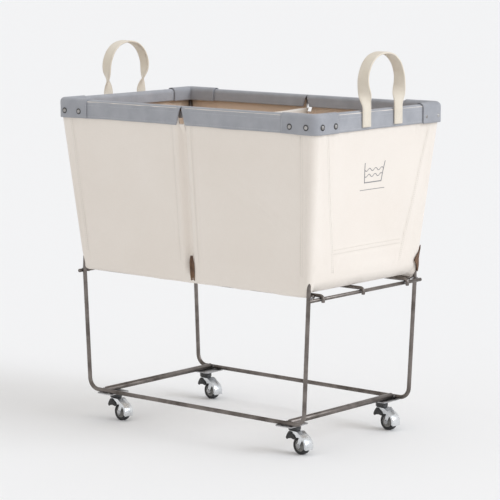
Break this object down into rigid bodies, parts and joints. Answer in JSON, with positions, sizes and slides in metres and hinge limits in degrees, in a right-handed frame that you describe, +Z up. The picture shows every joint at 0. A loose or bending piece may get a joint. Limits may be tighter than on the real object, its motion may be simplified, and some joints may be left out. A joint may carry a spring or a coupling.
{
  "type": "laundry sorter on wheels",
  "caption": "Rectangular canvas laundry basket with a fabric divider, folded trim and webbing handles, in a bent-wire frame on swivel casters.",
  "frame": {"origin": "on the floor, under the middle of the sorter", "axes": "+Z up, +X along the long side towards the right-hand handle, -Y towards the front long face"},
  "size_m": [0.7846, 0.463, 0.8688],
  "materials": {
    "canvas": "natural cotton duck, matt",
    "divider_canvas": "natural cotton duck, matt",
    "trim_webbing": "blue-grey woven binding",
    "trim_patch": "blue-grey woven binding, second layer",
    "handle_webbing": "thick cream cotton webbing",
    "leather": "dark brown vegetable-tanned",
    "frame_steel": "bare drawn steel wire, lightly oiled",
    "plate_steel": "zinc-plated sheet",
    "fork_zinc": "bright zinc plate",
    "black_plastic": "black moulded",
    "hub_plastic": "grey moulded",
    "tyre_rubber": "dark grey rubber"
  },
  "bodies": {
    "frame_and_basket": {"canvas_basket": "canvas", "divider_panel": "divider_canvas", "trim_left": "trim_webbing", "trim_right": "trim_webbing", "rim_hoop": "frame_steel", "handle_left": "handle_webbing", "handle_right": "handle_webbing", "foot_tab_front": "leather", "foot_tab_rear": "leather", "side_frame_front": "frame_steel", "side_frame_rear": "frame_steel", "base_cross_bar_left": "frame_steel", "base_cross_bar_right": "frame_steel", "shelf_end_rod_left": "frame_steel", "shelf_end_rod_right": "frame_steel", "shelf_side_wire_front": "frame_steel", "shelf_side_wire_rear": "frame_steel", "shelf_slat_front": "frame_steel", "shelf_slat_middle": "frame_steel", "shelf_slat_rear": "frame_steel", "trim_corner_front_left": "trim_patch", "caster_plate_front_left": "plate_steel", "caster_head_front_left": "black_plastic", "trim_corner_front_right": "trim_patch", "caster_plate_front_right": "plate_steel", "caster_head_front_right": "black_plastic", "trim_corner_rear_left": "trim_patch", "caster_plate_rear_left": "plate_steel", "caster_head_rear_left": "black_plastic", "trim_corner_rear_right": "trim_patch", "caster_plate_rear_right": "plate_steel", "caster_head_rear_right": "black_plastic", "leg_guard_rear_left": "leather", "leg_guard_rear_right": "leather"},
    "swivel_front_left": {"caster_fork_front_left": "fork_zinc", "caster_axle_front_left": "plate_steel"},
    "wheel_front_left": {"wheel_hub_front_left": "hub_plastic", "wheel_tyre_front_left": "tyre_rubber"},
    "brake_front_left": {"brake_pedal_front_left": "black_plastic"},
    "swivel_front_right": {"caster_fork_front_right": "fork_zinc", "caster_axle_front_right": "plate_steel"},
    "wheel_front_right": {"wheel_hub_front_right": "hub_plastic", "wheel_tyre_front_right": "tyre_rubber"},
    "brake_front_right": {"brake_pedal_front_right": "black_plastic"},
    "swivel_rear_left": {"caster_fork_rear_left": "fork_zinc", "caster_axle_rear_left": "plate_steel"},
    "wheel_rear_left": {"wheel_hub_rear_left": "hub_plastic", "wheel_tyre_rear_left": "tyre_rubber"},
    "brake_rear_left": {"brake_pedal_rear_left": "black_plastic"},
    "swivel_rear_right": {"caster_fork_rear_right": "fork_zinc", "caster_axle_rear_right": "plate_steel"},
    "wheel_rear_right": {"wheel_hub_rear_right": "hub_plastic", "wheel_tyre_rear_right": "tyre_rubber"},
    "brake_rear_right": {"brake_pedal_rear_right": "black_plastic"}
  },
  "joints": [
    {"name": "swivel_front_left", "type": "hinge", "parent": "frame_and_basket", "child": "swivel_front_left", "pos_m": [-0.267, -0.158, 0.0505], "axis": [0, 0, 1], "continuous": true},
    {"name": "roll_front_left", "type": "hinge", "parent": "swivel_front_left", "child": "wheel_front_left", "pos_m": [-0.24512, -0.1603, 0.01987], "axis": [0.1045, 0.9945, 0], "continuous": true},
    {"name": "brake_front_left", "type": "hinge", "parent": "swivel_front_left", "child": "brake_front_left", "pos_m": [-0.26849, -0.15784, 0.04237], "axis": [-0.1045, -0.9945, 0], "range_deg": [0, 18]},
    {"name": "swivel_front_right", "type": "hinge", "parent": "frame_and_basket", "child": "swivel_front_right", "pos_m": [0.267, -0.158, 0.0505], "axis": [0, 0, 1], "continuous": true},
    {"name": "roll_front_right", "type": "hinge", "parent": "swivel_front_right", "child": "wheel_front_right", "pos_m": [0.28888, -0.1603, 0.01987], "axis": [0.1045, 0.9945, 0], "continuous": true},
    {"name": "brake_front_right", "type": "hinge", "parent": "swivel_front_right", "child": "brake_front_right", "pos_m": [0.26551, -0.15784, 0.04237], "axis": [-0.1045, -0.9945, 0], "range_deg": [0, 18]},
    {"name": "swivel_rear_left", "type": "hinge", "parent": "frame_and_basket", "child": "swivel_rear_left", "pos_m": [-0.267, 0.158, 0.0505], "axis": [0, 0, 1], "continuous": true},
    {"name": "roll_rear_left", "type": "hinge", "parent": "swivel_rear_left", "child": "wheel_rear_left", "pos_m": [-0.24512, 0.1557, 0.01987], "axis": [0.1045, 0.9945, 0], "continuous": true},
    {"name": "brake_rear_left", "type": "hinge", "parent": "swivel_rear_left", "child": "brake_rear_left", "pos_m": [-0.26849, 0.15816, 0.04237], "axis": [-0.1045, -0.9945, 0], "range_deg": [0, 18]},
    {"name": "swivel_rear_right", "type": "hinge", "parent": "frame_and_basket", "child": "swivel_rear_right", "pos_m": [0.267, 0.158, 0.0505], "axis": [0, 0, 1], "continuous": true},
    {"name": "roll_rear_right", "type": "hinge", "parent": "swivel_rear_right", "child": "wheel_rear_right", "pos_m": [0.28888, 0.1557, 0.01987], "axis": [0.1045, 0.9945, 0], "continuous": true},
    {"name": "brake_rear_right", "type": "hinge", "parent": "swivel_rear_right", "child": "brake_rear_right", "pos_m": [0.26551, 0.15816, 0.04237], "axis": [-0.1045, -0.9945, 0], "range_deg": [0, 18]}
  ]
}
